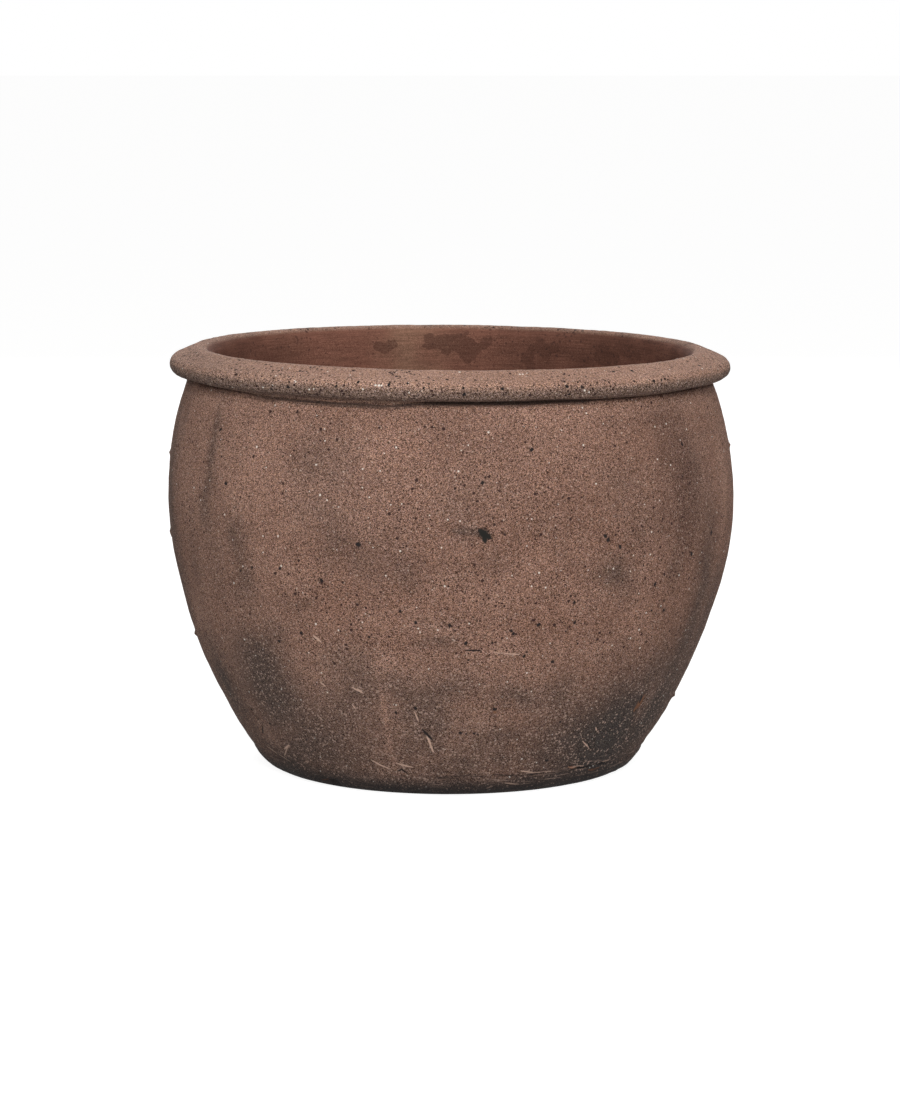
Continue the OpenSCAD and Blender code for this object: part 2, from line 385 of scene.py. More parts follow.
smokePatches = [
    (-56, 243, 6, 36, 0.56), (-57, 200, 6, 22, 0.36), (-47, 184, 10, 16, 0.48), (-45, 155, 10, 22, 0.44),
    (-54, 158, 14, 28, 0.28), (-80, 200, 15, 70, 0.5), (-28, 241, 13, 20, 0.3), (-22, 230, 9, 9, 0.22),
    (-25, 199, 18, 13, 0.18), (-22, 186, 9, 9, 0.28), (-15, 172, 9, 17, 0.22), (-9, 166, 9, 16, 0.28),
    (-32, 141, 13, 7, 0.22), (-47, 94, 24, 26, 0.5), (-44, 103, 12, 14, 0.28), (-50, 72, 24, 22, 0.36),
    (-41, 62, 26, 20, 0.32), (-30, 52, 34, 22, 0.24), (-38, 30, 40, 14, 0.3), (-61, 50, 16, 30, 0.3),
    (-20, 100, 14, 13, 0.38), (-25, 67, 18, 16, 0.28), (-9, 60, 11, 22, 0.34), (-2, 77, 14, 12, 0.34),
    (-3, 117, 15, 4, 0.45), (3, 85, 12, 7, 0.26), (13, 79, 15, 9, 0.32), (26, 79, 14, 14, 0.38),
    (-66, 72, 14, 26, 0.55), (-20, 83, 12, 11, 0.3), (-11, 84, 12, 13, 0.28), (-3, 57, 10, 13, 0.28),
    (-26, 206, 20, 10, 0.18), (-45, 84, 30, 28, 0.3), (-47, 60, 22, 14, 0.26), (-36, 40, 26, 12, 0.22),
    (-77, 190, 9, 70, 0.3), (-73, 150, 12, 24, 0.24), (-64, 88, 12, 20, 0.25), (-24, 170, 9, 9, 0.24),
    (57, 222, 8, 40, 0.24), (47, 44, 32, 24, 0.4), (60, 66, 20, 30, 0.35), (72, 120, 12, 40, 0.35),
    (30, 60, 18, 16, 0.24), (44, 84, 20, 16, 0.26), (-55, 294, 40, 6, 0.12), (40, 44, 22, 18, 0.4),
    (45, 22, 26, 13, 0.45), (36, 36, 18, 14, 0.3), (-43, 26, 22, 10, 0.35), (-40, 71, 14, 16, 0.24),
    (-43, 90, 14, 16, 0.18), (-5, 62, 12, 18, 0.26), (19, 75, 12, 8, 0.22), (-2, 130, 18, 5, 0.26),
    (-32, 15, 16, 7, 0.35), (-66, 68, 8, 22, 0.3), (-55, 201, 5, 14, 0.24), (-68, 296, 40, 8, 0.16),
    (-72, 235, 5, 36, 0.24), (-18, 171, 7, 9, 0.22), (-50, 14, 26, 12, 0.45), (48, 12, 30, 12, 0.55),
    (37, 150, 10, 14, 0.28), (-1, 88, 18, 14, 0.24), (16, 76, 10, 8, 0.24), (-38, 119, 10, 8, 0.22),
    (-21, 248, 16, 14, 0.16), (58, 40, 40, 30, 0.4), (70, 70, 30, 40, 0.45), (75, 112, 18, 40, 0.35),
    (-46, 76, 16, 20, 0.24), (47, 30, 18, 22, 0.32), (50, 14, 20, 10, 0.4), (-72, 66, 22, 28, 0.42),
    (-79, 110, 10, 30, 0.3), (-52, 20, 20, 8, 0.3), (28, 40, 14, 10, 0.2), (-16, 88, 12, 10, 0.2),
    (3, 197, 12, 9, 0.28), (21, 181, 8, 10, 0.2), (-63, 153, 7, 16, 0.28), (50, 160, 8, 14, 0.28),
    (62, 190, 10, 40, 0.3), (64, 148, 12, 28, 0.55), (33, 162, 13, 12, 0.6), (39, 196, 13, 20, 0.2),
    (34, 222, 16, 16, 0.18), (5, 222, 26, 10, 0.16), (16, 196, 10, 12, 0.14), (8, 174, 12, 9, 0.2),
    (48, 48, 44, 34, 0.72), (34, 32, 44, 22, 0.45), (56, 82, 22, 24, 0.5), (64, 106, 14, 30, 0.55),
    (46, 58, 18, 16, 0.45), (48, 36, 22, 16, 0.5), (62, 44, 26, 26, 0.5), (39, 16, 34, 9, 0.46),
    (12, 49, 22, 5, 0.3), (5, 28, 12, 6, 0.36), (15, 30, 16, 5, 0.24), (-55, 75, 14, 16, 0.18),
    (-26, 99, 14, 12, 0.18), (-19, 75, 12, 10, 0.16), (-6, 79, 12, 10, 0.18), (17, 74, 14, 9, 0.18),
    (-4, 47, 9, 8, 0.2), (32, 43, 12, 8, 0.26), (43, 46, 12, 8, 0.24), (0, 209, 12, 8, 0.12),
    (0, 167, 10, 8, 0.14), (40, 105, 12, 10, 0.15), (-39, 110, 14, 10, 0.14), (60, 150, 10, 20, 0.18),
    (-53, 205, 6, 16, 0.14), (-62, 178, 8, 18, 0.14), (112, 150, 34, 46, 0.22), (138, 60, 60, 34, 0.34),
    (-165, 52, 54, 36, 0.34), (-112, 205, 16, 60, 0.24), (-118, 55, 40, 30, 0.3), (96, 215, 16, 60, 0.24),
    (95, 22, 50, 14, 0.4), (-96, 34, 50, 18, 0.36),
]
# darker, redder clay
brownPatches = [
    (45, 200, 10, 30, 0.28), (51, 210, 15, 40, 0.26), (53, 232, 17, 34, 0.66), (53, 190, 15, 28, 0.6),
    (48, 246, 12, 16, 0.3), (48, 262, 16, 7, 0.32), (40, 264, 40, 8, 0.16), (0, 251, 18, 15, 0.26),
    (10, 252, 12, 18, 0.26), (-10, 192, 22, 18, 0.2), (-8, 167, 16, 16, 0.3), (-21, 187, 16, 12, 0.28),
    (11, 194, 16, 12, 0.2), (-17, 226, 22, 12, 0.16), (24, 206, 20, 20, 0.16), (128, 236, 22, 20, 0.4),
    (-125, 232, 24, 18, 0.35), (-158, 180, 30, 22, 0.35), (164, 172, 24, 26, 0.35),
]
# and where the clay stayed clean and light
cleanPatches = [
    (-42, 236, 17, 24, 0.55), (-46, 208, 9, 14, 0.45), (-33, 159, 13, 9, 0.6), (-13, 255, 22, 11, 0.45),
    (-69, 120, 12, 22, 0.95), (-15, 104, 13, 8, 0.8), (71, 215, 8, 46, 0.7), (43, 113, 16, 14, 0.5),
    (-40, 166, 10, 16, 0.45), (12, 166, 16, 10, 0.4), (-1, 160, 9, 12, 0.35), (-14, 134, 20, 8, 0.45),
    (-4, 131, 18, 7, 0.5), (9, 262, 14, 5, 0.45), (25, 263, 26, 4, 0.4), (6, 148, 15, 8, 0.5),
    (10, 112, 13, 7, 0.7), (27, 145, 22, 12, 0.35), (42, 134, 9, 13, 0.4), (7, 58, 14, 9, 0.8),
    (22, 110, 20, 9, 0.35), (-55, 37, 9, 10, 0.9), (-14.7, 58, 3.5, 26, 0.6), (-26, 168, 14, 12, 0.35),
    (19, 180, 16, 12, 0.25), (-59, 38, 7, 9, 0.8), (33, 111, 16, 10, 0.45), (-29, 204, 10, 8, 0.35),
    (-65, 106, 7, 14, 0.6), (50, 242, 6, 12, 0.4), (41, 163, 7, 9, 0.4), (56, 62, 8, 16, 0.7),
    (-2, 124, 22, 4, 0.22), (-23, 230, 14, 8, 0.2), (-30, 196, 12, 8, 0.2), (26, 180, 12, 9, 0.2),
    (-4, 178, 9, 8, 0.2), (57, 76, 10, 14, 0.3), (-64, 92, 8, 12, 0.3), (10, 151, 14, 10, 0.3),
    (45, 296, 50, 6, 0.25), (125, 190, 24, 22, 0.5), (-130, 160, 22, 30, 0.5), (178, 150, 26, 18, 0.5),
    (150, 235, 20, 16, 0.4),
]
# torn, crusty clay round the foot
crustPatches = [
    (-57, 36, 7, 8, 0.9), (-54, 28, 9, 6, 0.9), (-48, 19, 14, 4, 0.8), (-30, 17, 10, 3, 0.6),
    (-12, 21, 9, 4, 0.8), (-16, 24, 5, 3, 0.7), (23, 17, 11, 3, 0.8), (38, 17, 9, 4, 0.9),
    (47, 16, 12, 3, 0.9), (8, 59, 10, 6, 0.5), (30, 40, 18, 12, 0.35), (110, 22, 16, 5, 0.8),
    (150, 30, 12, 8, 0.7), (-130, 20, 16, 5, 0.8), (-170, 34, 10, 8, 0.7),
]
# damp patches inside, most of them high on the far wall, without a strength
dampPatches = [
    (-163, 285, 8, 5), (176, 284, 17, 9), (-177, 287, 16, 5), (157, 283, 10, 8), (160, 274, 6, 9),
    (153, 286, 9, 4), (137, 282, 13, 8), (130, 287, 20, 5), (112, 276, 30, 10), (-120, 262, 14, 8),
    (60, 240, 14, 10), (-20, 230, 16, 8), (-75, 250, 18, 10),
]

patchEdge = {"wallR": 185, "swaySize": 22, "sway": 5, "fineSize": 8, "fine": 2.5}
# smoke, with painted shade on the roll's lower face (underRoll) and along the foot's lowest edge (edge)
smokeAndShadeLook = {
    "mottle": 0.13, "footMottle": 0.22, "foot": 0.25, "footZone": (100, 20),
    "edge": 0.92, "edgeZone": (19, 3),
    "behind": 0.34, "behindFrom": (70, 100), "drift": (-0.4, 0.9),
    "underRoll": 0.60, "rollTop": (292, 286), "rollBottom": (278, 281), "onClean": 0.4,
}
warmLook = {
    "least": 0.08, "right": 0.42, "rightFrom": (-0.35, 0.75), "belt": 0.30, "beltFrom": (90, 125),
    "beltTo": (215, 180), "drift": (60, 0.32), "fineDrift": (22, 0.20),
}
# by height: how coarse the clay's face is, where grains are rubbed clean, and how many pits are open
roughLook = {
    "up": [0, 50, 110, 200, 274, 281, 288, 295, 300],
    "value": [1.38, 1.40, 1.15, 1.08, 0.92, 1.55, 1.28, 0.58, 0.50], "drift": (30, 0.15),
}
rubLook = {
    "up": [0, 40, 100, 130, 200, 274, 281, 288, 293, 300],
    "value": [1.25, 1.32, 1.20, 1.02, 0.95, 0.92, 1.00, 0.90, 0.50, 0.40], "drift": (24, 0.25), "crust": 0.9,
}
pitLook = {
    "up": [0, 80, 112, 190, 225, 274, 281, 300],
    "value": [0.62, 0.70, 1.18, 1.14, 0.95, 1.08, 1.55, 1.70],
}
# painted shade: the foot is nearly black where it turns under, higher up at its sides
footShadeLook = {"most": 0.94, "from": 19, "to": 1, "sideRise": 7, "sides": (28, 48)}
# a belt under the roll painted lighter: painted light where the roll's shadow falls
litBeltLook = {"up": 270, "half": 6, "most": 0.8, "left": (-0.7, -1.0), "right": (0.0, 0.3), "rightShare": 0.7}
dampLook = {"innerR": 175, "rag": 0.7, "ragSize": 9, "fineSize": 4, "fine": 0.6}
# painted shade darkens the inside, least on the far side
innerShadeLook = {
    "most": 0.92, "from": (176, 116), "wander": (50, 10), "aside": 12, "even": 0.85, "drift": (18, 0.3),
}
# olive clay on the far inner wall, partly painted light: its lighter colour brightens the middle of the far
# wall
oliveAndLitLook = {"middle": 190, "half": 7, "most": 0.9, "wander": (20, 5), "cloudSize": 45, "cloud": 0.3}


def turnApart(turn, centre):
    return (turn - math.radians(centre) + math.pi) % (2 * math.pi) - math.pi


def byHeight(table, up):
    return np.interp(up / mm, table["up"], table["value"])


def patchesOf(patches, points, turn, up):
    # what is left clear of them, with ragged edges
    fine = swell(points, patchEdge["fineSize"], patchEdge["fine"], 33)
    aside = swell(points, patchEdge["swaySize"], patchEdge["sway"], 31) + fine
    above = swell(points, patchEdge["swaySize"], patchEdge["sway"], 32) + fine
    clear = np.ones(len(points))
    for centre, height, wide, tall, strength in patches:
        across = turnApart(turn, centre) * patchEdge["wallR"] + aside
        over = up / mm - height + above
        clear *= 1 - strength * bell(across, 0, wide) * bell(over, 0, tall)
    return clear


def smokeAndShadeOf(points, turn, up):
    clear = patchesOf(smokePatches, points, turn, up)
    mottle = np.clip(0.5 + swell(points, 30, 0.45, 34) + swell(points, 11, 0.35, 35), 0, 1)
    low = zone(up, *smokeAndShadeLook["footZone"])
    clear *= 1 - (smokeAndShadeLook["mottle"] + smokeAndShadeLook["footMottle"] * low) * mottle - smokeAndShadeLook["foot"] * low
    behind = ramp(np.abs(turn), *np.radians(smokeAndShadeLook["behindFrom"]))
    drift = lumps(points, 60, 47) + swell(points, 26, 0.6, 48) + swell(points, 11, 0.3, 49)
    clear *= 1 - smokeAndShadeLook["behind"] * behind * ramp(drift, *smokeAndShadeLook["drift"])
    # painted shade on the roll's lower face
    clear *= 1 - smokeAndShadeLook["underRoll"] * zone(up, *smokeAndShadeLook["rollTop"]) * zone(up, *smokeAndShadeLook["rollBottom"])
    # painted shade along the foot's lowest edge
    clear *= 1 - smokeAndShadeLook["edge"] * zone(up, *smokeAndShadeLook["edgeZone"])
    return 1 - clear


def warmOf(points, turn, up):
    side = ramp(np.sin(turn), *warmLook["rightFrom"])
    belt = zone(up, *warmLook["beltFrom"]) * zone(up, *warmLook["beltTo"])
    drift = swell(points, *warmLook["drift"], 36) + swell(points, *warmLook["fineDrift"], 37)
    return np.clip(warmLook["least"] + warmLook["right"] * side + warmLook["belt"] * belt + drift, 0, 1)


def roughOf(points, up):
    return byHeight(roughLook, up) * (1 + swell(points, *roughLook["drift"], 38))


def rubOf(points, turn, up):
    crust = 1 - patchesOf(crustPatches, points, turn, up)
    return byHeight(rubLook, up) * (1 + swell(points, *rubLook["drift"], 39)) * (1 + rubLook["crust"] * crust)


# painted shade under the foot's curve, deeper at its sides
def footShadeOf(turn, up):
    start = footShadeLook["from"] + footShadeLook["sideRise"] * ramp(np.abs(turn), *np.radians(footShadeLook["sides"]))
    return footShadeLook["most"] * np.clip((start - up / mm) / (start - footShadeLook["to"]), 0, 1)


# clean clay, and the painted light belt under the roll
def cleanAndLitOf(points, turn, up):
    sides = ramp(turn, *litBeltLook["left"]) + litBeltLook["rightShare"] * ramp(turn, *litBeltLook["right"])
    belt = litBeltLook["most"] * bell(up / mm, litBeltLook["up"], litBeltLook["half"]) * sides
    return 1 - patchesOf(cleanPatches, points, turn, up) * (1 - belt)


def dampOf(points, turn, up):
    field = np.full(len(points), -1.0)
    fine = swell(points, dampLook["fineSize"], dampLook["fine"], 42)
    rag = dampLook["rag"] * (lumps(points, dampLook["ragSize"], 41) + fine)
    for centre, height, wide, tall in dampPatches:
        across = turnApart(turn, centre) * dampLook["innerR"] / wide
        field = np.maximum(field, 1 - np.hypot(across, (up / mm - height) / tall) + rag)
    return field


def innerShadeOf(points, turn):
    far = np.degrees(np.abs(turn)) - innerShadeLook["aside"] * np.sign(turn)
    far += swell(points, *innerShadeLook["wander"], 43)
    even = np.clip(innerShadeLook["even"] + swell(points, *innerShadeLook["drift"], 44), 0, 1)
    return innerShadeLook["most"] * ramp(far, *innerShadeLook["from"]) * even


def oliveAndLitOf(points, turn):
    far = np.degrees(turn) % 360 + swell(points, *oliveAndLitLook["wander"], 45)
    cloud = np.clip(lumps(points, oliveAndLitLook["cloudSize"], 46), 0, 1)
    return oliveAndLitLook["most"] * bell(far, oliveAndLitLook["middle"], oliveAndLitLook["half"]) + oliveAndLitLook["cloud"] * cloud


# stains and surface looks, with painted shade and painted light among them
def stainsOf(points, turn, up, coarse):
    cleanAndLit = cleanAndLitOf(points, turn, up)
    return {
        "smokeAndShade": smokeAndShadeOf(points, turn, up) * (1 - smokeAndShadeLook["onClean"] * cleanAndLit), "cleanAndLit": cleanAndLit,
        "brown": 1 - patchesOf(brownPatches, points, turn, up), "warm": warmOf(points, turn, up),
        "rough": roughOf(points, up), "rub": rubOf(points, turn, up), "pitted": byHeight(pitLook, up),
        "seamGap": (up - seamLine(points)) / mm, "opened": seamOpen(turn, points), "footShade": footShadeOf(turn, up),
        "inside": 1 - coarse, "damp": dampOf(points, turn, up), "innerShade": innerShadeOf(points, turn),
        "oliveAndLit": oliveAndLitOf(points, turn),
    }


# Turned pieces

clayFaces = {
    "lipZone": (296.5, 299.7),               # the roll's coarse clay reaches a little way over the lip
    "calmFoot": (0, 4),                      # the relief fades out at the standing face
    "bakeInset": 0.004, "leastRow": 0.2 * mm,
}


def rowsOf(runs):
    # radius, height and normal of each row, its kind, and the rows where one face meets the next
    rows, kinds, borders = [], [], []
    for index, (kind, points) in enumerate(runs):
        # a border row belongs to the face that shows
        before, after = runs[index - 1][0], runs[(index + 1) % len(runs)][0]
        start = 0 if before == "hidden" and kind != "hidden" else 1
        stop = len(points) - (1 if kind == "hidden" and after != "hidden" else 0)
        if index == 0:
            start = 0 if kind != "hidden" else 1
        if index == len(runs) - 1:
            stop = len(points) - 1
        slope = np.gradient(points, axis=0)
        slope /= np.linalg.norm(slope, axis=1)[:, None]
        borders.append(len(rows) - start)
        for (r, z), (alongR, alongZ) in zip(points[start:stop], slope[start:stop]):
            rows.append((r, z, alongZ, -alongR))
            kinds.append(kind)
    return np.array(rows), np.array(kinds), [border % len(rows) for border in borders]


def gridMesh(name, vertices, count, columns, borders):
    row, column = np.meshgrid(np.arange(count), np.arange(columns), indexing="ij")
    nextRow, nextColumn = (row + 1) % count, (column + 1) % columns
    faces = np.stack([row * columns + column, row * columns + nextColumn,
                      nextRow * columns + nextColumn, nextRow * columns + column], axis=-1).reshape(-1, 4)
    mesh = bpy.data.meshes.new(name)
    mesh.vertices.add(len(vertices))
    mesh.vertices.foreach_set("co", vertices.ravel())
    mesh.loops.add(faces.size)
    mesh.loops.foreach_set("vertex_index", faces.ravel().astype(np.int32))
    mesh.polygons.add(len(faces))
    mesh.polygons.foreach_set("loop_start", np.arange(0, faces.size, 4, dtype=np.int32))
    mesh.polygons.foreach_set("use_smooth", np.ones(len(faces), dtype=bool))
    mesh.update(calc_edges=True)

    # the borders between faces of different kinds stay crisp
    ends = np.empty(len(mesh.edges) * 2, dtype=np.int32)
    mesh.edges.foreach_get("vertices", ends)
    ends = ends.reshape(-1, 2) // columns
    sharp = (ends[:, 0] == ends[:, 1]) & np.isin(ends[:, 0], borders)
    mesh.attributes.new("sharp_edge", "BOOLEAN", "EDGE").data.foreach_set("value", sharp)
    return mesh


def unwrap(mesh, rows, columns):
    # two half turns, one above the other, for the colour map
    count, half, inset = len(rows), columns // 2, clayFaces["bakeInset"]
    row, column = np.meshgrid(np.arange(count), np.arange(columns), indexing="ij")
    length = np.linalg.norm(np.diff(rows[:, :2], axis=0, append=rows[:1, :2]), axis=1)
    weight = np.maximum(length, clayFaces["leastRow"])
    rise = np.concatenate([[0], np.cumsum(weight)]) / weight.sum()
    strip = column // half
    left, right = (column % half) / half, (column % half + 1) / half
    low, high = rise[row], rise[row + 1]
    layer = np.empty((count, columns, 4, 2))
    for corner, (u, v) in enumerate([(left, low), (right, low), (right, high), (left, high)]):
        layer[:, :, corner, 0] = inset + u * (1 - 2 * inset)
        layer[:, :, corner, 1] = strip * 0.5 + inset + v * (0.5 - 2 * inset)
    mesh.uv_layers.new(name="OFBake").data.foreach_set("uv", layer.ravel())


def turnPiece(name, runs, columns):
    rows, kinds, borders = rowsOf(runs)
    turns = np.linspace(-math.pi, math.pi, columns, endpoint=False)      # it closes at the back
    r, z, outR, outZ = (np.repeat(rows[:, k], columns) for k in range(4))
    turn, kind = np.tile(turns, len(rows)), np.repeat(kinds, columns)
    points = np.stack([r * np.sin(turn), -r * np.cos(turn), z], axis=1)
    normals = np.stack([outR * np.sin(turn), -outR * np.cos(turn), outZ], axis=1)

    inside = kind == "inside"
    coarse = np.where(inside, zone(z, *clayFaces["lipZone"]), 1.0)
    outer = addDents(points, outsideRelief(points, turn, z))
    offset = np.where(inside | (kind == "outside"), coarse * outer + (1 - coarse) * insideRelief(points), 0)
    offset *= np.where(inside, 1, zone(z, *clayFaces["calmFoot"]))
    shaped = leanOver(points + normals * offset[:, None])
    shaped[:, 2] = np.maximum(shaped[:, 2], 0)

    mesh = gridMesh(name, shaped, len(rows), columns, borders)
    for label, values in stainsOf(points, turn, z, coarse).items():
        mesh.attributes.new(label, "FLOAT", "POINT").data.foreach_set("value", values.astype(np.float32))
    unwrap(mesh, rows, columns)
    piece = bpy.data.objects.new(name, mesh)
    scene.collection.objects.link(piece)
    print("piece %s: %d faces" % (name, len(mesh.polygons)))
    return piece


step = {
    "slab": 0.9 * mm, "lower": 1.3 * mm, "upper": 2.4 * mm, "roll": 0.95 * mm, "groove": 0.45 * mm,
    "inside": 7 * mm, "brim": 1.8 * mm, "lip": 1.2 * mm, "floor": 4 * mm, "hidden": 6 * mm, "lap": 3 * mm,
    "coil": 1.6 * mm, "coilEdge": 0.5 * mm, "drain": 1.5 * mm, "drainEdge": 0.7 * mm,
    "columns": 768, "rollColumns": 1216, "coilColumns": 384,
}
roundSlope, brimAngle = pot["roundSlope"], pot["brimAngle"]
footTop = angleOf(baseCorner - footCentre)
lowerFoot = angleOf(baseCorner - lowerCentre)
lowerJoint = angleOf(jointOut - lowerCentre)
innerJoint = angleOf(jointIn - lowerCentre)
coilAngle = angleOf(coilTopDir)
wallFootAngle = angleOf(wallFoot - lowerCentre)
brimEnd = bellyCentre + innerBellyR * heading(brimAngle)
brimBend = spot(mouthR, brimEnd[1] + (brimEnd[0] - mouthR) / math.tan(brimAngle))
grooveAngle = angleOf(grooveEdge - bellyCentre)
lip = spot(mouthR, pot["lapZ"])
lapFoot, lapTop = spot(lapR, neckZ), spot(lapR, pot["lapZ"])
coilFoot = spot(coilCentre[0], baseT)
drainR, drainEdge = pot["drainR"], pot["drainEdge"]
drainTop, drainFoot = spot(drainR + drainEdge, baseT), spot(drainR + drainEdge, 0)
boreTop, boreFoot = spot(drainR, baseT - drainEdge), spot(drainR, drainEdge)
noseTurn = -0.3                              # the roll's nose has finer rows below this angle

slabRuns = [
    arcRun("outside", footCentre, footArcR, -quarter, footTop, step["slab"]),
    lineRun("hidden", baseCorner, coilFoot, step["hidden"]),
    lineRun("inside", coilFoot, drainTop, step["floor"]),
    lineRun("inside", drainTop, boreTop, step["drainEdge"]),
    lineRun("bore", boreTop, boreFoot, step["drain"]),
    lineRun("bore", boreFoot, drainFoot, step["drainEdge"]),
    lineRun("standing", drainFoot, spot(footR, 0), step["floor"]),
]
coilRuns = [
    lineRun("hidden", coilFoot, wallFoot, step["hidden"]),
    arcRun("hidden", lowerCentre, innerLowerR, wallFootAngle, coilAngle, step["hidden"]),
    lineRun("inside", coilTop, coilCentre + pot["coilR"] * coilTopDir, step["coilEdge"]),
    arcRun("inside", coilCentre, pot["coilR"], coilAngle, -quarter, step["coil"]),
    lineRun("inside", coilCentre - spot(0, pot["coilR"]), coilFoot, step["coilEdge"]),
]
lowerRuns = [
    arcRun("outside", lowerCentre, lowerArcR, lowerFoot, lowerJoint, step["lower"]),
    lineRun("hidden", jointOut, jointIn, step["hidden"]),
    arcRun("inside", lowerCentre, innerLowerR, innerJoint, coilAngle, step["inside"]),
    arcRun("hidden", lowerCentre, innerLowerR, coilAngle, wallFootAngle, step["hidden"]),
    lineRun("hidden", wallFoot, baseCorner, step["hidden"]),
]
upperRuns = [
    arcRun("outside", lowerCentre, lowerArcR, lowerJoint, -roundSlope, step["upper"]),
    arcRun("outside", bellyCentre, bellyArcR, -roundSlope, grooveAngle, step["upper"]),
    lineRun("outside", grooveEdge, seat, step["groove"]),
    lineRun("hidden", seat, lapFoot, step["lap"]),
    lineRun("hidden", lapFoot, lapTop, step["lap"]),
    lineRun("hidden", lapTop, lip, step["lap"]),
    bendRun("inside", lip, brimBend, brimEnd, step["brim"]),
    arcRun("inside", bellyCentre, innerBellyR, brimAngle, -roundSlope, step["inside"]),
    arcRun("inside", lowerCentre, innerLowerR, -roundSlope, innerJoint, step["inside"]),
    lineRun("hidden", jointIn, jointOut, step["hidden"]),
]
rollRuns = [
    lineRun("outside", seat, underEnd, step["roll"]),
    arcRun("outside", noseCentre, noseR, underTouch, noseTurn, step["roll"] / 2),
    arcRun("outside", noseCentre, noseR, noseTurn, topTouch, step["roll"]),
    lineRun("outside", topStart, topEnd, step["roll"]),
    arcRun("outside", crownCentre, crownR, topTouch, quarter, step["roll"]),
    arcRun("inside", crownCentre, crownR, quarter, math.pi, step["roll"]),
    lineRun("inside", crownCentre - spot(crownR, 0), lip, step["lip"]),
    lineRun("hidden", lip, lapTop, step["lap"]),
    lineRun("hidden", lapTop, lapFoot, step["lap"]),
    lineRun("hidden", lapFoot, seat, step["lap"]),
]

pieces = {
    "base_slab": turnPiece("slab_clay", slabRuns, step["columns"]),
    "corner_coil": turnPiece("coil_clay", coilRuns, step["coilColumns"]),
    "lower_wall": turnPiece("lower_ring_clay", lowerRuns, step["columns"]),
    "upper_wall": turnPiece("upper_ring_clay", upperRuns, step["columns"]),
    "rim_roll": turnPiece("roll_clay", rollRuns, step["rollColumns"]),
}


# Shader helpers

def addNode(tree, kind, wires=None, **settings):
    node = tree.nodes.new(kind)
    for key, value in settings.items():
        setattr(node, key, value)
    for key, value in (wires or {}).items():
        if isinstance(value, bpy.types.NodeSocket):
            tree.links.new(value, node.inputs[key])
        else:
            node.inputs[key].default_value = value
    return node


def sumOf(tree, operation, first, second=0.0, third=0.0, clamp=False):
    wires = {0: first, 1: second, 2: third}
    return addNode(tree, "ShaderNodeMath", wires, operation=operation, use_clamp=clamp).outputs[0]


def timesOf(tree, first, second):
    return sumOf(tree, "MULTIPLY", first, second)


def mostOf(tree, first, second):
    return sumOf(tree, "MAXIMUM", first, second)


def scaledOf(tree, value, scale, offset, clamp=False):
    return sumOf(tree, "MULTIPLY_ADD", value, scale, offset, clamp)


def vectorOf(tree, operation, first, second):
    wires = {0: first, 3 if operation == "SCALE" else 1: second}
    node = addNode(tree, "ShaderNodeVectorMath", wires, operation=operation)
    return node.outputs["Value" if operation in ("DISTANCE", "DOT_PRODUCT") else "Vector"]


def blendOf(tree, share, first, second, mode="MIX"):
    wires = {"Factor": share, 6: first, 7: second}
    node = addNode(tree, "ShaderNodeMix", wires, data_type="RGBA", blend_type=mode, clamp_factor=True)
    return node.outputs[2]


def rangeOf(tree, value, start, end, low=0.0, high=1.0):
    wires = {"Value": value, 1: start, 2: end, 3: low, 4: high}
    return addNode(tree, "ShaderNodeMapRange", wires, interpolation_type="SMOOTHSTEP").outputs[0]


def bandOf(tree, value, low, high):
    # 1 between two soft edges
    return timesOf(tree, rangeOf(tree, value, *low), rangeOf(tree, value, *high))


def noiseOf(tree, place, scale, detail=2.0):
    return addNode(tree, "ShaderNodeTexNoise", {"Vector": place, "Scale": scale, "Detail": detail}).outputs


def shaken(tree, place, scale, detail, reach):
    # a place that is moved about, so that edges turn out ragged
    sway = vectorOf(tree, "SUBTRACT", noiseOf(tree, place, scale, detail)["Color"], (0.5, 0.5, 0.5))
    return vectorOf(tree, "ADD", place, vectorOf(tree, "SCALE", sway, reach * mm))


def newGroup(name, inputs, outputs):
    tree = bpy.data.node_groups.new(name, "ShaderNodeTree")
    kinds = {float: "NodeSocketFloat", tuple: "NodeSocketVector"}
    for label, value in inputs.items():
        socket = tree.interface.new_socket(label, in_out="INPUT", socket_type=kinds[type(value)])
        socket.default_value = value
    for label in outputs:
        tree.interface.new_socket(label, in_out="OUTPUT", socket_type="NodeSocketFloat")
    return tree, tree.nodes.new("NodeGroupInput").outputs, tree.nodes.new("NodeGroupOutput").inputs


def placeGroup(tree, group, wires):
    return addNode(tree, "ShaderNodeGroup", wires, node_tree=group).outputs


# Crushed grog in the clay: tone of the grains, pale specks, open pits, and their height

# cell and shift of each kind, its largest grain in mm, and the draw below which a cell has none
grog = {
    "rubbed": (1.5, 0.19, 0.75, 0.60), "pale": (4.4, 0.31, 0.7, -0.67), "white": (8.6, 0.53, 0.85, -0.67),
    "pit": (6.4, 0.11, 1.2, -0.67), "finePit": (3.2, 0.77, 0.65, -0.67),
    "shiftWay": (1, 0.7, 1.3), "crispness": 0.8, "mostPits": 1.1,
    "steep": (1.5, 0.6), "glint": 0.42, "ragged": (1300.0, 2.0, 0.7),
    "zoneScale": 26.0, "zones": (0.38, 0.60, 0.55, 1.15),
    "grainHeight": 0.4, "pitDepth": -1.8, "speckHeight": 0.5,
}


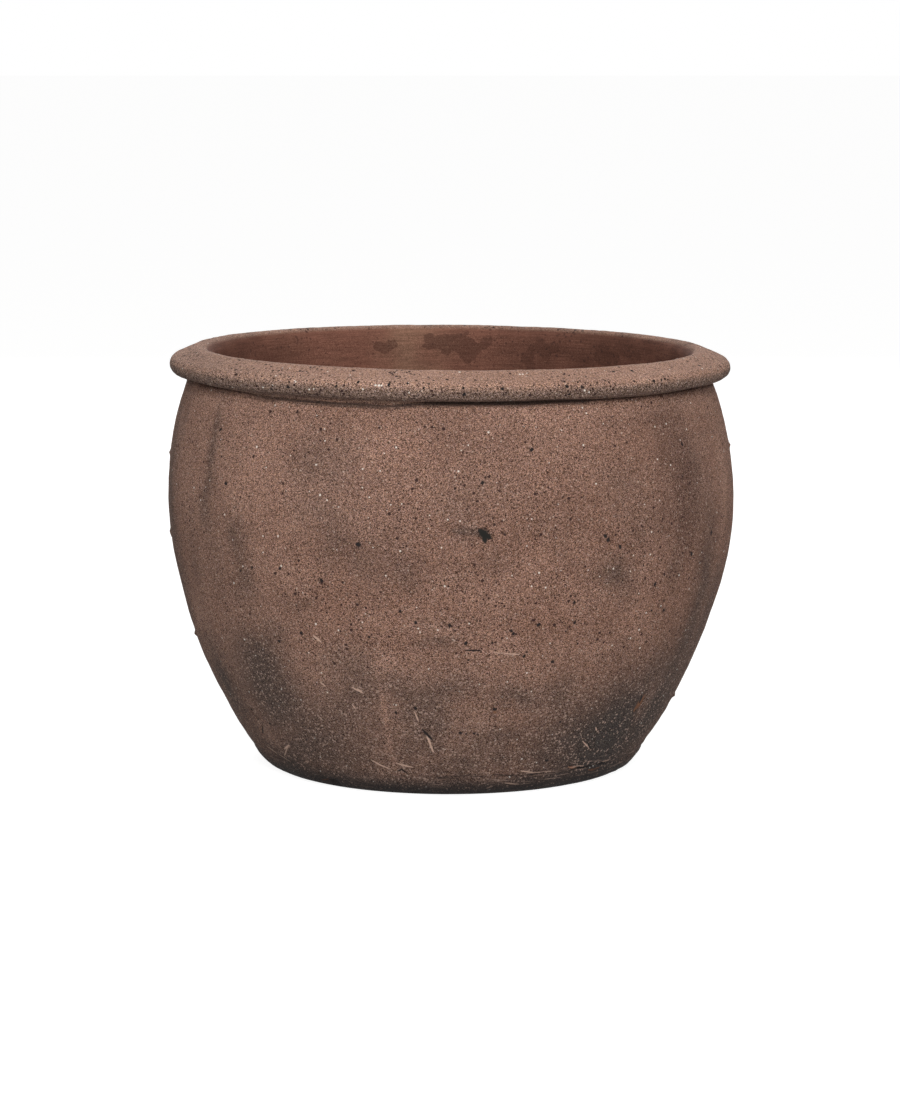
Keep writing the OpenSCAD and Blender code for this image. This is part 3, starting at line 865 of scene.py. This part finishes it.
def buildGrogGrain():
    tree, take, give = newGroup(
        "grogGrain",
        {"Place": (0.0, 0.0, 0.0), "Grain": 0.4 * mm, "Contrast": 0.8, "Specks": 1.0, "Pits": 1.0,
         "Rub": 1.0},
        ["Shade", "Glint", "Tint", "Rubbed", "Pale", "White", "Pit", "Height"])
    scale = sumOf(tree, "DIVIDE", 1.0, take["Grain"])
    sand = addNode(tree, "ShaderNodeTexVoronoi", {"Vector": take["Place"], "Scale": scale})
    draws = addNode(tree, "ShaderNodeSeparateColor", {"Color": sand.outputs["Color"]}).outputs
    draw = scaledOf(tree, draws[0], 2.0, -1.0)
    steep = scaledOf(tree, timesOf(tree, draw, draw), *grog["steep"])
    tone = timesOf(tree, draw, steep)        # most grains are alike, and a few stand out
    tone = timesOf(tree, tone, take["Contrast"])
    shade = sumOf(tree, "EXPONENT", sumOf(tree, "MINIMUM", tone, 0.0))
    glint = sumOf(tree, "MULTIPLY", mostOf(tree, tone, 0.0), grog["glint"], clamp=True)
    loose = shaken(tree, take["Place"], *grog["ragged"])
    zones = rangeOf(tree, noiseOf(tree, take["Place"], grog["zoneScale"])["Fac"], *grog["zones"])

    def grains(label, share):
        cell, shift, largest, none = grog[label]
        moved = vectorOf(tree, "ADD", loose, tuple(shift * way for way in grog["shiftWay"]))
        cells = addNode(tree, "ShaderNodeTexVoronoi", {"Vector": moved, "Scale": 1 / (cell * mm)})
        chance = addNode(tree, "ShaderNodeSeparateColor", {"Color": cells.outputs["Color"]}).outputs[1]
        size = scaledOf(tree, chance, 1 / (1 - none), -none / (1 - none), clamp=True)
        size = timesOf(tree, timesOf(tree, size, share), largest / cell)
        return rangeOf(tree, cells.outputs["Distance"], size, timesOf(tree, size, grog["crispness"]))

    pitShare = timesOf(tree, take["Pits"], zones)
    rubbed = grains("rubbed", take["Rub"])
    pale = grains("pale", take["Specks"])
    white = grains("white", take["Specks"])
    fewer = sumOf(tree, "MINIMUM", pitShare, grog["mostPits"])
    pit = mostOf(tree, grains("pit", fewer), grains("finePit", pitShare))
    height = timesOf(tree, draw, grog["grainHeight"])
    height = scaledOf(tree, pit, grog["pitDepth"], height)
    height = scaledOf(tree, mostOf(tree, white, rubbed), grog["speckHeight"], height)
    made = {"Shade": shade, "Glint": glint, "Tint": draws[1], "Rubbed": rubbed, "Pale": pale, "White": white,
            "Pit": pit, "Height": height}
    for label, value in made.items():
        tree.links.new(value, give[label])
    return tree


# A round mark, and a stroke with tapered ends

def buildBlotMark():
    tree, take, give = newGroup(
        "blotMark",
        {"Place": (0.0, 0.0, 0.0), "Under": 0.0, "Centre": (0.0, 0.0, 0.0), "Radius": 1.0 * mm, "Core": 0.6},
        ["Mask"])
    far = vectorOf(tree, "DISTANCE", take["Place"], take["Centre"])
    mask = rangeOf(tree, far, take["Radius"], timesOf(tree, take["Radius"], take["Core"]))
    tree.links.new(mostOf(tree, take["Under"], mask), give["Mask"])
    return tree


def buildStrokeMark():
    narrowing = -0.55
    tree, take, give = newGroup(
        "strokeMark",
        {"Place": (0.0, 0.0, 0.0), "Under": 0.0, "Start": (0.0, 0.0, 0.0), "End": (0.0, 0.0, 0.01),
         "Width": 1.0 * mm, "Core": 0.4},
        ["Mask"])
    way = vectorOf(tree, "SUBTRACT", take["End"], take["Start"])
    gone = vectorOf(tree, "SUBTRACT", take["Place"], take["Start"])
    passed = vectorOf(tree, "DOT_PRODUCT", gone, way)
    share = sumOf(tree, "DIVIDE", passed, vectorOf(tree, "DOT_PRODUCT", way, way), clamp=True)
    far = vectorOf(tree, "DISTANCE", gone, vectorOf(tree, "SCALE", way, share))
    middle = scaledOf(tree, share, 2.0, -1.0)
    taper = scaledOf(tree, timesOf(tree, middle, middle), narrowing, 1.0)
    width = timesOf(tree, take["Width"], taper)
    mask = rangeOf(tree, far, width, timesOf(tree, width, take["Core"]))
    tree.links.new(mostOf(tree, take["Under"], mask), give["Mask"])
    return tree


groups = {"grain": buildGrogGrain(), "blot": buildBlotMark(), "stroke": buildStrokeMark()}

# Marks on the wall: turn and height up, then a radius or width in mm

darkBlots = [
    (-17.7, 184.5, 1.9), (30.8, 188.3, 1.4), (31.4, 185.4, 1.3), (34.3, 179.7, 1.3), (-49.6, 217.5, 1.2),
    (44.8, 150.1, 1.4), (49.3, 129.8, 1.2), (25.7, 129.2, 1.4), (25.0, 143.2, 1.1), (55.4, 167.5, 1.4),
    (63.5, 178.9, 1.3), (53.6, 244.0, 1.1), (-42.5, 162.2, 1.0), (-45.9, 158.8, 1.0), (-35.1, 164.0, 1.0),
    (-25.8, 158.4, 1.0), (-32.0, 119.2, 1.1), (6.0, 227.0, 1.3), (15.9, 248.3, 1.2), (-38.2, 111.2, 1.1),
    (-57.8, 52.5, 1.3), (-51.2, 45.4, 1.2), (3.2, 117.8, 1.1), (-0.2, 130.2, 1.1), (12.8, 123.8, 1.0),
    (-7.5, 69.4, 1.2), (10.5, 68.4, 1.2), (2.7, 50.9, 1.1), (4.3, 50.5, 0.7), (6.2, 50.3, 0.9),
    (7.1, 49.6, 0.7), (39.1, 23.0, 1.1), (27.4, 25.5, 1.0), (27.6, 55.5, 1.0), (22.2, 101.8, 1.0),
    (-53.6, 252.4, 1.1), (-6.9, 132.0, 1.1), (17.8, 129.0, 1.1), (-12.1, 65.8, 1.0), (12.3, 125.7, 0.9),
    (4.1, 105.5, 0.8), (15.6, 107.2, 0.9), (8.6, 117.8, 0.9), (-9.9, 139.8, 0.9), (45.1, 131.3, 0.9),
    (-16.5, 120.7, 0.9), (145, 140, 1.8), (-132, 205, 1.6), (172, 92, 1.5), (-158, 58, 1.6),
    (118, 226, 1.4), (-104, 96, 1.5),
]
paleBlots = [
    (-26.8, 236.1, 0.9), (-24.1, 213.2, 0.8), (-39.1, 173.9, 0.8), (-28.1, 127.2, 1.0),
    (-23.1, 123.9, 0.9), (-6.4, 128.1, 0.9), (-12.5, 164.2, 0.8), (-28.1, 77.6, 0.9), (18.5, 155.4, 0.9),
    (-11.4, 212.1, 0.7), (-9.3, 212.9, 0.7), (7.5, 260.0, 0.9),
]
sootStrokes = [
    ((5.4, 195.4), (6.8, 191.2), 4.6), ((6.2, 192.6), (6.4, 187.8), 3.0),
    ((6.6, 192.6), (7.4, 190.4), 3.0),
]
darkStrokes = [
    ((-57.7, 51.1), (-56.3, 41.2), 1.4), ((-56.3, 41.2), (-59.3, 33.6), 1.4),
    ((2.7, 112.8), (6.5, 111.9), 1.1), ((-6.3, 53.2), (-3.9, 44.8), 1.5),
    ((-14.1, 19.6), (-12.8, 21.8), 1.1), ((-12.8, 21.8), (-11.5, 17.6), 1.1),
    ((38.8, 35.8), (41.3, 29.4), 1.2), ((53.0, 60.0), (52.2, 66.0), 2.2),
    ((35.7, 18.8), (44.8, 12.6), 1.1), ((44.8, 12.6), (51.7, 15.1), 1.1),
    ((12.5, 17.0), (21.2, 13.7), 0.9), ((21.2, 13.7), (28.2, 16.2), 0.9),
]
paleStrokes = [
    ((-29.1, 118.4), (-27.4, 114.4), 1.1), ((-21.7, 83.2), (-19.2, 79.4), 0.8),
    ((-20.8, 27.7), (-16.6, 21.8), 0.9), ((-51.0, 26.0), (-47.3, 30.7), 0.9),
    ((-56.7, 18.7), (-51.8, 15.7), 0.9), ((6.5, 111.9), (14.6, 108.5), 0.9),
    ((-7.8, 67.2), (-6.4, 53.9), 0.7), ((-5.3, 48.8), (-3.8, 36.2), 1.1),
    ((-14.0, 26.4), (-9.6, 23.6), 0.9), ((-29.3, 84.9), (-28.3, 82.0), 0.7),
    ((-50.6, 62.0), (-50.2, 60.1), 0.7), ((-22.4, 70.0), (-21.8, 67.1), 0.7),
    ((-20.5, 82.5), (-19.3, 80.1), 0.7), ((36.7, 37.8), (41.0, 29.8), 0.7),
    ((39.4, 47.2), (40.2, 44.5), 0.7), ((20.2, 18.9), (24.6, 16.6), 0.7),
    ((24.0, 16.2), (29.9, 16.6), 0.7), ((36.2, 17.2), (41.1, 17.4), 0.9),
    ((47.5, 16.2), (52.3, 17.2), 0.9), ((-62.0, 22.7), (-57.6, 18.5), 0.9),
    ((-53.4, 19.4), (-48.4, 28.9), 0.8),
]
softStreaks = [
    ((-14.9, 84.0), (-14.8, 60.0), 3.2), ((-14.8, 62.0), (-14.6, 26.0), 3.2),
]
rustStrokes = [
    ((52.0, 55.0), (53.6, 65.0), 4.2), ((35.7, 17.8), (39.3, 15.7), 1.5),
    ((10.3, 66.6), (10.9, 65.6), 1.2),
]
greySmears = [
    ((0.4, 195.4), (6.6, 193.8), 6.0),
]
# and on the roll
rimDark = [
    (-8.2, 292.6, 0.9), (-11.7, 291.8, 0.9), (-17.8, 292.4, 0.9), (10.0, 289.6, 1.0), (2.5, 290.1, 0.9),
    (2.6, 286.2, 1.0), (-4.1, 292.4, 0.8), (-5.0, 289.8, 0.9), (-22.2, 289.3, 0.9), (-36.9, 284.3, 1.1),
    (-32.6, 287.0, 1.0), (22.9, 290.1, 1.1), (26.1, 289.7, 1.0), (23.4, 284.6, 1.0), (36.1, 297.4, 1.0),
    (40.9, 297.0, 1.0), (43.7, 290.4, 1.0), (46.0, 290.5, 1.0), (64.3, 295.4, 1.1),
]
rimPale = [
    (-16.7, 288.2, 0.8), (26.6, 287.2, 0.9), (-36.4, 287.2, 0.8), (-31.1, 290.7, 0.8),
    (-14.3, 290.9, 1.0), (-13.6, 290.8, 1.1), (-13.1, 290.9, 0.9), (14.4, 297.7, 0.9), (15.0, 297.7, 0.9),
]


def blotsOf(tree, place, marks, grow):
    total = 0.0
    for turn, up, radius in marks:
        wires = {"Place": place, "Under": total, "Centre": markSpot(turn, up), "Radius": grow * radius * mm}
        total = placeGroup(tree, groups["blot"], wires)["Mask"]
    return total


def strokesOf(tree, place, marks, core):
    total = 0.0
    for start, end, width in marks:
        wires = {"Place": place, "Under": total, "Start": markSpot(*start), "End": markSpot(*end),
                 "Width": width * mm, "Core": core}
        total = placeGroup(tree, groups["stroke"], wires)["Mask"]
    return total


clay = {
    # the sand colour is also laid as painted light under the roll
    "tan": (0.268, 0.147, 0.107, 1), "mauve": (0.212, 0.108, 0.075, 1), "sand": (0.38, 0.216, 0.160, 1),
    # the smoke colour is also laid as painted shade at the foot and under the roll
    "brown": (0.100, 0.052, 0.039, 1), "smokeAndShade": (0.047, 0.037, 0.033, 1), "rubbed": (0.52, 0.36, 0.29, 1),
    "golden": (1.05, 1.0, 0.86, 1), "pink": (0.95, 0.99, 1.12, 1), "glint": (2.3, 2.6, 2.7, 1),
    "pale": (0.56, 0.44, 0.36, 1), "white": (0.80, 0.75, 0.68, 1), "scratch": (0.56, 0.385, 0.30, 1),
    # the hole colour is also laid as painted shade under the foot
    "pit": (0.038, 0.020, 0.018, 1), "hole": (0.020, 0.017, 0.017, 1), "soot": (0.018, 0.017, 0.015, 1),
    # the groove colour is dirt with painted shade in the seam
    "rust": (0.24, 0.10, 0.05, 1), "groove": (0.042, 0.029, 0.024, 1),
    # the wet colour is also laid as painted shade inside
    "red": (0.220, 0.095, 0.065, 1), "oliveAndLit": (0.276, 0.146, 0.096, 1), "wet": (0.084, 0.035, 0.024, 1),
}
cover = {                                    # how far each one hides the clay under it
    "sand": 0.6, "smear": 0.62, "streak": -0.75, "rubbed": (0.35, 0.42), "pale": 0.7, "rust": 0.7,
    "white": 0.9, "pit": 0.95, "pulled": 0.55, "cracked": 0.6, "innerGrain": 0.32, "innerPit": 0.45,
    "damp": 0.55, "thinSeam": (0.60, 0.20), "wideSeam": (0.10, 0.58),
}
markEdge = {                                 # noise scale, detail and reach in mm
    "torn": (700.0, 2.0, 0.9), "jagged": (380.0, 1.0, 2.4),
    "dark": 1.45, "pale": 0.9,               # growth of the blots, and the solid share of a stroke
    "smears": 0.1, "streaks": 0.1, "scratches": 0.65, "rust": 0.4, "darkStrokes": 0.4, "soot": 0.35,
}
strand = {                                   # level strands of dragged clay, in the seam and round the foot
    "squeeze": (45, 45, 950), "ledge": (26 * mm, 15 * mm), "zoneScale": 22.0, "zone": (0.45, 0.60),
    "pulled": (0.60, 0.66), "cracked": (0.40, 0.34), "wiped": (0.35, 0.65, 0.86, 1.12),
    "seamRag": (1.2, -0.6), "wideLow": (-2.7, -2.2), "wideHigh": (1.5, 0.5), "wideTorn": (0.58, 0.46),
    "thinLow": (-0.9, -0.4), "thinHigh": (0.8, 0.3),
}
gloss = {"dry": 0.93, "wet": -0.10, "dampEdge": (-0.03, 0.10), "innerSmooth": -0.7}
wallLook = {
    "grain": 0.40 * mm, "contrast": 1.55, "specks": 1.0, "pits": 1.0,
    "lift": (1, 1, 1), "bump": 0.2 * mm,
}
# the roll's colours are lifted lighter: painted light from above on the roll
rimLook = {
    "grain": 0.45 * mm, "contrast": 1.32, "specks": 1.0, "pits": 1.0,
    "lift": (1.36, 1.46, 1.48), "bump": 0.22 * mm,
}
slabLook = {
    "grain": 0.42 * mm, "contrast": 1.5, "specks": 1.0, "pits": 1.0,
    "lift": (0.95, 0.95, 0.95), "bump": 0.22 * mm,
}
floorLook = {
    "grain": 0.42 * mm, "contrast": 0.5, "specks": 0.6, "pits": 0.6,
    "lift": (1, 1, 1), "bump": 0.15 * mm,
}
stainNames = ["smokeAndShade", "brown", "cleanAndLit", "warm", "damp", "inside", "innerShade", "oliveAndLit", "seamGap", "opened",
              "rough", "pitted", "rub", "footShade"]


def clayMaterial(name, look, marks):
    material = bpy.data.materials.new(name)
    material.use_nodes = True
    tree = material.node_tree
    tree.nodes.clear()
    place = addNode(tree, "ShaderNodeTexCoord").outputs["Object"]
    stain = {label: addNode(tree, "ShaderNodeAttribute", attribute_name=label).outputs["Fac"]
             for label in stainNames}
    grain = placeGroup(tree, groups["grain"], {
        "Place": place, "Grain": look["grain"], "Contrast": timesOf(tree, stain["rough"], look["contrast"]),
        "Specks": look["specks"], "Pits": timesOf(tree, stain["pitted"], look["pits"]), "Rub": stain["rub"]})
    tornPlace = shaken(tree, place, *markEdge["torn"])
    jaggedPlace = shaken(tree, place, *markEdge["jagged"])

    def lifted(name):
        return (*(a * b for a, b in zip(look["lift"], clay[name])), 1)

    def laid(under, mask, over, share=None):
        return blendOf(tree, mask if share is None else timesOf(tree, mask, share), under, over)

    def tinted(under, tint):
        return blendOf(tree, 1.0, under, tint, "MULTIPLY")

    def strokes(label):
        return strokesOf(tree, tornPlace, marks[label], markEdge[label])

    def drawn(under, label, over, share=None):
        return laid(under, strokes(label), over, share) if label in marks else under

    # outside: warm or mauve clay, smoke and painted shade, grains
    colour = blendOf(tree, stain["warm"], lifted("tan"), lifted("mauve"))
    # lighter where clean, and painted light under the roll
    colour = laid(colour, stain["cleanAndLit"], lifted("sand"), cover["sand"])
    colour = laid(colour, stain["brown"], lifted("brown"))
    # smoke, with painted shade at the foot's edge and under the roll
    smokeAndShade = stain["smokeAndShade"]
    if "smears" in marks:
        smokeAndShade = mostOf(tree, smokeAndShade, timesOf(tree, strokes("smears"), cover["smear"]))
    if "streaks" in marks:
        smokeAndShade = timesOf(tree, smokeAndShade, scaledOf(tree, strokes("streaks"), cover["streak"], 1.0))
    colour = laid(colour, smokeAndShade, clay["smokeAndShade"])
    colour = tinted(colour, blendOf(tree, grain["Tint"], clay["golden"], clay["pink"]))
    light = blendOf(tree, grain["Glint"], (1, 1, 1, 1), clay["glint"])
    colour = tinted(tinted(colour, light), grain["Shade"])
    rubbed = timesOf(tree, grain["Rubbed"], scaledOf(tree, smokeAndShade, *cover["rubbed"]))
    colour = laid(colour, rubbed, clay["rubbed"])
    white = grain["White"]
    if "pale" in marks:
        white = mostOf(tree, white, blotsOf(tree, tornPlace, marks["pale"], markEdge["pale"]))
    colour = laid(colour, grain["Pale"], clay["pale"], cover["pale"])
    colour = drawn(colour, "scratches", clay["scratch"])
    colour = drawn(colour, "rust", clay["rust"], cover["rust"])
    colour = laid(colour, white, clay["white"], cover["white"])
    colour = laid(colour, grain["Pit"], clay["pit"], cover["pit"])
    if "dark" in marks:
        colour = laid(colour, blotsOf(tree, jaggedPlace, marks["dark"], markEdge["dark"]), clay["hole"])
    colour = drawn(colour, "darkStrokes", clay["hole"])
    colour = drawn(colour, "soot", clay["soot"])

    # torn ledges round the foot, painted shade under the foot, and dirt with painted shade in the seam
    strands = noiseOf(tree, vectorOf(tree, "MULTIPLY", place, strand["squeeze"]), 1.0)["Fac"]
    up = addNode(tree, "ShaderNodeSeparateXYZ", {0: place}).outputs["Z"]
    zoned = rangeOf(tree, noiseOf(tree, place, strand["zoneScale"])["Fac"], *strand["zone"])
    ledge = timesOf(tree, rangeOf(tree, up, *strand["ledge"]), zoned)
    pulled = timesOf(tree, rangeOf(tree, strands, *strand["pulled"]), ledge)
    cracked = timesOf(tree, rangeOf(tree, strands, *strand["cracked"]), ledge)
    colour = laid(colour, pulled, clay["rubbed"], cover["pulled"])
    colour = laid(colour, cracked, clay["hole"], cover["cracked"])
    # painted shade where the foot turns under
    colour = laid(colour, stain["footShade"], clay["hole"])
    # the seam band: dirt and painted shade in the recess under the roll
    gap = sumOf(tree, "ADD", stain["seamGap"], scaledOf(tree, strands, *strand["seamRag"]))
    wide = timesOf(tree, bandOf(tree, gap, strand["wideLow"], strand["wideHigh"]), stain["opened"])
    wide = timesOf(tree, wide, rangeOf(tree, strands, *strand["wideTorn"], *cover["wideSeam"]))
    thin = timesOf(tree, bandOf(tree, gap, strand["thinLow"], strand["thinHigh"]),
                   scaledOf(tree, stain["opened"], *cover["thinSeam"]))
    colour = laid(colour, mostOf(tree, wide, thin), clay["groove"])

    # inside: redder and finer, with damp patches that have crisp edges
    # olive clay with painted light on the far inner wall
    inner = blendOf(tree, stain["oliveAndLit"], clay["red"], clay["oliveAndLit"])
    # painted shade inside
    inner = laid(inner, stain["innerShade"], clay["wet"])
    inner = tinted(inner, rangeOf(tree, strands, *strand["wiped"]))
    damp = rangeOf(tree, stain["damp"], *gloss["dampEdge"])
    inner = laid(inner, damp, clay["wet"], cover["damp"])
    inner = blendOf(tree, cover["innerGrain"], inner, tinted(tinted(inner, light), grain["Shade"]))
    inner = laid(inner, grain["Pit"], clay["pit"], cover["innerPit"])
    colour = laid(colour, stain["inside"], inner)

    dull = scaledOf(tree, damp, gloss["wet"], gloss["dry"])
    fine = scaledOf(tree, stain["inside"], gloss["innerSmooth"], 1.0)
    height = timesOf(tree, grain["Height"], fine)
    bump = addNode(tree, "ShaderNodeBump", {"Height": height, "Strength": 1.0, "Distance": look["bump"]})
    shader = addNode(tree, "ShaderNodeBsdfPrincipled", {
        "Base Color": colour, "Roughness": dull, "Normal": bump.outputs["Normal"],
        "Specular IOR Level": 0.16, "Diffuse Roughness": 0.5})
    addNode(tree, "ShaderNodeOutputMaterial", {"Surface": shader.outputs["BSDF"]})
    return material


wallMarks = {
    "dark": darkBlots, "pale": paleBlots, "darkStrokes": darkStrokes, "scratches": paleStrokes,
    "streaks": softStreaks, "rust": rustStrokes, "smears": greySmears, "soot": sootStrokes,
}
slabMarks = {
    "darkStrokes": darkStrokes[-4:], "scratches": [((16.3, 10.1), (20.7, 8.3), 0.9)],
    "rust": [((-41.0, 5.6), (-38.0, 7.0), 1.2), ((45.0, 11.5), (49.0, 12.3), 1.4)],
}
rimMarks = {"dark": rimDark, "pale": rimPale}
ringReach = {"lower_wall": (0, 116), "upper_wall": (108, 300)}    # heights in mm


def marksOf(ring):
    # each wall ring has only its own marks, so that its material stays small
    low, high = ringReach[ring]
    kept = {}
    for label, marks in wallMarks.items():
        ups = [mark[0][1] if isinstance(mark[0], tuple) else mark[1] for mark in marks]
        within = [mark for mark, up in zip(marks, ups) if low < up < high]
        if within:
            kept[label] = within
    return kept


finishes = {
    "base_slab": ("base_clay", clayMaterial("slabClay", slabLook, slabMarks)),
    "corner_coil": ("floor_clay", clayMaterial("floorClay", floorLook, {})),
    "lower_wall": ("wall_clay", clayMaterial("lowerWallClay", wallLook, marksOf("lower_wall"))),
    "upper_wall": ("wall_clay", clayMaterial("upperWallClay", wallLook, marksOf("upper_wall"))),
    "rim_roll": ("rim_clay", clayMaterial("rimClay", rimLook, rimMarks)),
}
for node, piece in pieces.items():
    slotName, material = finishes[node]
    piece.data.materials.append(material)
    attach(piece, "root")
    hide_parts(node)
print("finishes: %d materials" % len(finishes))

# Floor, light and camera

stageLook = {
    "floorHalf": 30.0, "floorColour": (0.34, 0.335, 0.33, 1), "floorGlow": 0.92, "ambient": 0.175,
    "glowFrom": 0.9,                         # no glow under the foot, as a share of its radius
}
lamps = {
    "frontSoftbox": {"at": (0.15, -2.15, 1.0), "aim": (0, 0, 0.16), "size": (1.0, 1.0), "watts": 43.5},
    "topSoftbox": {"at": (0.1, -0.3, 2.3), "aim": (0, 0, 0.25), "size": (1.6, 1.6), "watts": 9.0},
    "backSoftbox": {"at": (0.0, 2.3, 1.5), "aim": (0, 0, 0.16), "size": (0.9, 0.9), "watts": 28.0},
    "sideFill": {"at": (1.9, 0.3, 0.8), "aim": (0, 0, 0.15), "size": (0.6, 1.2), "watts": 1.5},
}
lens = {"back": 2.6, "up": 0.5338, "pitch": 8.397, "pixels": 3654.3, "longSide": 1108, "sensor": 36.0}


def seenDirectly(tree):
    path = addNode(tree, "ShaderNodeLightPath").outputs
    mirror = mostOf(tree, path["Is Glossy Ray"], path["Is Transmission Ray"])
    return mostOf(tree, path["Is Camera Ray"], mirror)


half = stageLook["floorHalf"]
corners = [(-half, -half, 0), (half, -half, 0), (half, half, 0), (-half, half, 0)]
floorMesh = bpy.data.meshes.new("floor")
floorMesh.from_pydata(corners, [], [(0, 1, 2, 3)])
floor = bpy.data.objects.new("floor", floorMesh)
scene.collection.objects.link(floor)
paper = bpy.data.materials.new("palePaper")
paper.use_nodes = True
tree = paper.node_tree
tree.nodes.clear()
matt = addNode(tree, "ShaderNodeBsdfDiffuse", {"Color": stageLook["floorColour"]}).outputs[0]
ground = addNode(tree, "ShaderNodeNewGeometry").outputs["Position"]
far = vectorOf(tree, "DISTANCE", ground, (0, 0, 0))
lit = rangeOf(tree, far, stageLook["glowFrom"] * footR, footR, 0.0, stageLook["floorGlow"])
glow = addNode(tree, "ShaderNodeEmission", {"Strength": lit}).outputs[0]
dark = addNode(tree, "ShaderNodeEmission", {"Strength": 0.0}).outputs[0]
shown = addNode(tree, "ShaderNodeMixShader", {0: seenDirectly(tree), 1: dark, 2: glow}).outputs[0]
both = addNode(tree, "ShaderNodeAddShader", {0: matt, 1: shown}).outputs[0]
addNode(tree, "ShaderNodeOutputMaterial", {"Surface": both})
floorMesh.materials.append(paper)

world = bpy.data.worlds.new("studio")
scene.world = world
world.use_nodes = True
tree = world.node_tree
tree.nodes.clear()
pureWhite = {"Color": (1, 1, 1, 1), "Strength": 1.0}
dimWhite = {"Color": (1, 1, 1, 1), "Strength": stageLook["ambient"]}
white = addNode(tree, "ShaderNodeBackground", pureWhite).outputs[0]
soft = addNode(tree, "ShaderNodeBackground", dimWhite).outputs[0]
sky = addNode(tree, "ShaderNodeMixShader", {0: seenDirectly(tree), 1: soft, 2: white}).outputs[0]
addNode(tree, "ShaderNodeOutputWorld", {"Surface": sky})

for name, lamp in lamps.items():
    light = bpy.data.lights.new(name, "AREA")
    light.shape = "RECTANGLE"
    light.size, light.size_y = lamp["size"]
    light.energy = lamp["watts"]
    holder = bpy.data.objects.new(name, light)
    holder.location = lamp["at"]
    way = np.array(lamp["aim"]) - np.array(lamp["at"])
    flat = math.hypot(way[0], way[1])
    holder.rotation_euler = (math.atan2(flat, -way[2]), 0, math.atan2(way[1], way[0]) - quarter)
    scene.collection.objects.link(holder)

camera = bpy.data.cameras.new("camera")
camera.sensor_width = lens["sensor"]
camera.lens = lens["pixels"] * lens["sensor"] / lens["longSide"]
eye = bpy.data.objects.new("camera", camera)
eye.location = (0, -lens["back"], lens["up"])
eye.rotation_euler = (math.radians(90 - lens["pitch"]), 0, 0)
scene.collection.objects.link(eye)
scene.camera = eye
scene.view_settings.view_transform = "Standard"
scene.cycles.denoising_prefilter = "NONE"    # keeps the fine grain
print("stage: floor, %d lamps, camera at %.1f mm" % (len(lamps), camera.lens))

bpy.context.view_layer.update()
